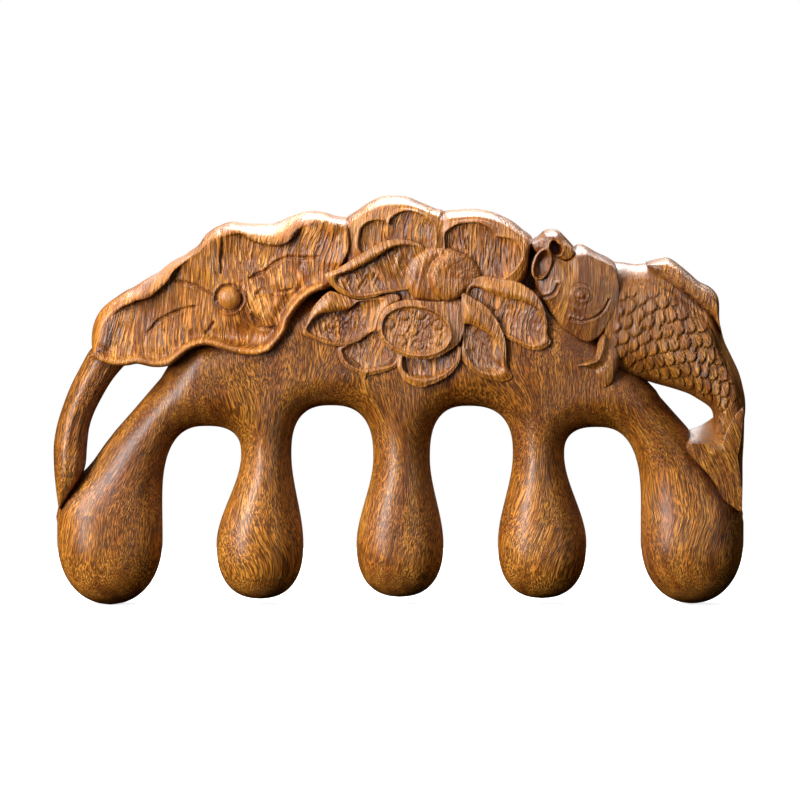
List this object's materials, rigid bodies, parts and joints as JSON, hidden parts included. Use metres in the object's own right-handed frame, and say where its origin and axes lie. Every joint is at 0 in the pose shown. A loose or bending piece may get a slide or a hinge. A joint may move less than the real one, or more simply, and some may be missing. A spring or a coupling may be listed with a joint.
{
  "type": "massage comb",
  "caption": "Wide-toothed wooden massage comb with rounded drop-shaped teeth and a carved lotus and carp back.",
  "frame": {"origin": "under the middle of the comb's box, on the level of the end teeth's tips", "axes": "+X along the comb's length, carp at +X; -Y out of the pictured face; +Z from the teeth up to the carved crown"},
  "size_m": [0.1301, 0.0176, 0.0772],
  "materials": {
    "polished_wood": "polished and waxed golden-brown hardwood with fine dark pores",
    "carved_wood": "carved and waxed golden-brown hardwood with gouge marks"
  },
  "bodies": {
    "root": {"back_petal_left": "carved_wood", "back_petal_right": "carved_wood", "carp_barbel": "carved_wood", "carp_body": "carved_wood", "carp_dorsal_fin": "carved_wood", "carp_eye_back": "carved_wood", "carp_eye_front": "carved_wood", "carp_head": "carved_wood", "carp_mouth_back": "carved_wood", "carp_mouth_front": "carved_wood", "carp_pectoral_fin_back": "carved_wood", "carp_pectoral_fin_front": "carved_wood", "carp_tail_fin": "carved_wood", "comb_spine": "polished_wood", "leaf_hub_back": "carved_wood", "leaf_hub_front": "carved_wood", "leaf_stem": "carved_wood", "lotus_bud_back": "carved_wood", "lotus_bud_front": "carved_wood", "lotus_leaf": "carved_wood", "petal_1_back": "carved_wood", "petal_1_front": "carved_wood", "petal_2_back": "carved_wood", "petal_2_front": "carved_wood", "petal_3_back": "carved_wood", "petal_3_front": "carved_wood", "petal_4_back": "carved_wood", "petal_4_front": "carved_wood", "petal_5_back": "carved_wood", "petal_5_front": "carved_wood", "petal_6_back": "carved_wood", "petal_6_front": "carved_wood", "seed_pod_back": "carved_wood", "seed_pod_front": "carved_wood", "tooth_1": "polished_wood", "tooth_2": "polished_wood", "tooth_3": "polished_wood", "tooth_4": "polished_wood", "tooth_5": "polished_wood"}
  },
  "joints": []
}
